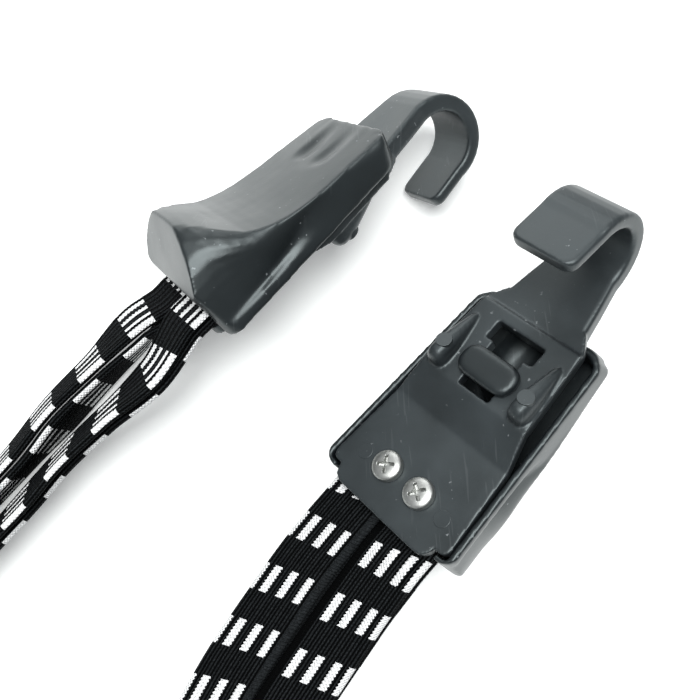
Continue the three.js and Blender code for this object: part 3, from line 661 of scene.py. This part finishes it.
def zinc_material():
    material = bpy.data.materials.new("zinc_steel")
    material.use_nodes = True
    tree = material.node_tree
    shader = tree.nodes["Principled BSDF"]
    shader.inputs["Metallic"].default_value = 1.0
    place = tree.nodes.new("ShaderNodeTexCoord")
    smears = tree.nodes.new("ShaderNodeTexNoise")
    smears.inputs["Scale"].default_value = 900.0
    smears.inputs["Detail"].default_value = 5.0
    tree.links.new(place.outputs["Object"], smears.inputs["Vector"])
    tone = tree.nodes.new("ShaderNodeValToRGB")
    tone.color_ramp.elements[0].color = (0.3, 0.31, 0.3, 1)
    tone.color_ramp.elements[1].color = (0.5, 0.51, 0.49, 1)
    tree.links.new(smears.outputs["Fac"], tone.inputs["Fac"])
    tree.links.new(tone.outputs["Color"], shader.inputs["Base Color"])
    wear = tree.nodes.new("ShaderNodeMapRange")
    wear.inputs["To Min"].default_value = 0.3
    wear.inputs["To Max"].default_value = 0.5
    tree.links.new(smears.outputs["Fac"], wear.inputs["Value"])
    tree.links.new(wear.outputs["Result"], shader.inputs["Roughness"])
    return material


def head_height(x, y):
    """How far the head stands out at a place on it: a flat dome with a cross sunk into it."""
    out = min(1.0, math.hypot(x, y) / HEAD_RADIUS)
    dome = HEAD_HEIGHT * (0.55 + 0.45 * math.sqrt(max(0.0, 1 - out ** 3)))
    arm_half, arm_reach, wall = 0.00044, 0.002, 0.00014
    sunk = 0.0
    for along, beside in ((abs(x), abs(y)), (abs(y), abs(x))):
        wing = arm_half * (1.15 - 0.4 * along / arm_reach)
        inside = min((wing - beside) / wall, (arm_reach - along) / (2 * wall))
        sunk = max(sunk, max(0.0, min(1.0, inside)) * (1.1 - 0.55 * along / arm_reach))
    core = max(0.0, min(1.0, (0.00085 - math.hypot(x, y)) / 0.0002))
    return dome - 0.0012 * max(sunk, core * 1.1)


zinc_steel = zinc_material()
for end_name, matrix in ENDS.items():
    for number, sign in ((1, -1), (2, 1)):
        screw = bmesh.new()
        cross_turn = Matrix.Rotation(-math.radians(35 * sign), 2)
        rings, spokes = 40, 120
        middle = screw.verts.new((0, 0, -0.0003 - head_height(0, 0)))
        circles = []
        for ring in range(1, rings + 1):
            radius = HEAD_RADIUS * ring / rings
            circle = []
            for spoke in range(spokes):
                angle = 2 * math.pi * spoke / spokes
                flat = Vector((radius * math.cos(angle), radius * math.sin(angle)))
                circle.append(screw.verts.new((*flat, -0.0003 - head_height(*(cross_turn @ flat)))))
            circles.append(circle)
        profile = (
            (HEAD_RADIUS, -0.0003), (SHANK_RADIUS, -0.0003),
            (SHANK_RADIUS, SCREW_LENGTH - 2 * SHANK_RADIUS), (SHANK_RADIUS / 3, SCREW_LENGTH),
        )
        for radius, height in profile:
            circles.append([
                screw.verts.new((
                    radius * math.cos(2 * math.pi * spoke / spokes),
                    radius * math.sin(2 * math.pi * spoke / spokes), height,
                ))
                for spoke in range(spokes)
            ])
        for spoke in range(spokes):
            following = (spoke + 1) % spokes
            screw.faces.new((middle, circles[0][following], circles[0][spoke]))
            for inner, outer in zip(circles, circles[1:]):
                screw.faces.new((inner[spoke], inner[following], outer[following], outer[spoke]))
        screw.faces.new(circles[-1])
        bmesh.ops.recalc_face_normals(screw, faces=screw.faces)
        for face in screw.faces:
            face.smooth = True
        screw.transform(matrix @ Matrix.Translation((SCREW_PLACE, sign * SCREW_SPACING / 2, 0)))
        screw_mesh = bpy.data.meshes.new(f"{end_name}_screw_{number}_turned")
        screw.to_mesh(screw_mesh)
        screw.free()
        screw_mesh.set_sharp_from_angle(angle=math.radians(50))
        screw_mesh.materials.append(zinc_steel)
        fastener = bpy.data.objects.new(f"{end_name}_screw_{number}_turned", screw_mesh)
        bpy.context.scene.collection.objects.link(fastener)
        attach(fastener, "root")
        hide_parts(f"{end_name}_screw_{number}")


# Table and light: a plain white table that keeps a soft shadow, a large soft lamp overhead, a
# faint one at the far side, and a dim room.
table = bmesh.new()
bmesh.ops.create_grid(table, x_segments=1, y_segments=1, size=3)
table_mesh = bpy.data.meshes.new("table")
table.to_mesh(table_mesh)
table.free()
table_top = bpy.data.objects.new("table", table_mesh)
bpy.context.scene.collection.objects.link(table_top)
table_top.location.z = -0.0002
white_table = bpy.data.materials.new("white_table")
white_table.use_nodes = True
tree = white_table.node_tree
tree.nodes.clear()
out = tree.nodes.new("ShaderNodeOutputMaterial")
matt = tree.nodes.new("ShaderNodeBsdfDiffuse")
matt.inputs["Color"].default_value = (0.86, 0.88, 0.87, 1)
# The table glows a little to the camera, and more in the plastic's reflections, where the glow is a painted
# reflection that brightens the plastic
rays = tree.nodes.new("ShaderNodeLightPath")
seen = tree.nodes.new("ShaderNodeMath")
seen.operation = "MULTIPLY"
seen.inputs[1].default_value = 0.22
mirrored = tree.nodes.new("ShaderNodeMath")
mirrored.operation = "MULTIPLY_ADD"
mirrored.inputs[1].default_value = 0.45
tree.links.new(rays.outputs["Is Camera Ray"], seen.inputs[0])
tree.links.new(rays.outputs["Is Glossy Ray"], mirrored.inputs[0])
tree.links.new(seen.outputs["Value"], mirrored.inputs[2])
glow = tree.nodes.new("ShaderNodeEmission")
tree.links.new(mirrored.outputs["Value"], glow.inputs["Strength"])
both_shaders = tree.nodes.new("ShaderNodeAddShader")
tree.links.new(matt.outputs["BSDF"], both_shaders.inputs[0])
tree.links.new(glow.outputs["Emission"], both_shaders.inputs[1])
tree.links.new(both_shaders.outputs["Shader"], out.inputs["Surface"])
table_mesh.materials.append(white_table)


def lamp(name, place, target, size, power):
    data = bpy.data.lights.new(name, "AREA")
    data.shape = "DISK"
    data.size = size
    data.energy = power
    holder = bpy.data.objects.new(name, data)
    bpy.context.scene.collection.objects.link(holder)
    holder.location = place
    holder.rotation_euler = (Vector(target) - Vector(place)).to_track_quat("-Z", "Y").to_euler()


lamp("ceiling_lamp", (-0.15, 0.04, 1.3), (0, 0, 0), 1.0, 27)
lamp("far_lamp", (-0.2, 1.15, 0.55), (0, 0, 0), 0.8, 5)

world = bpy.data.worlds.new("studio")
bpy.context.scene.world = world
world.use_nodes = True
world.node_tree.nodes["Background"].inputs["Color"].default_value = (0.95, 0.98, 1, 1)
world.node_tree.nodes["Background"].inputs["Strength"].default_value = 0.42
bpy.context.scene.view_settings.view_transform = "Standard"
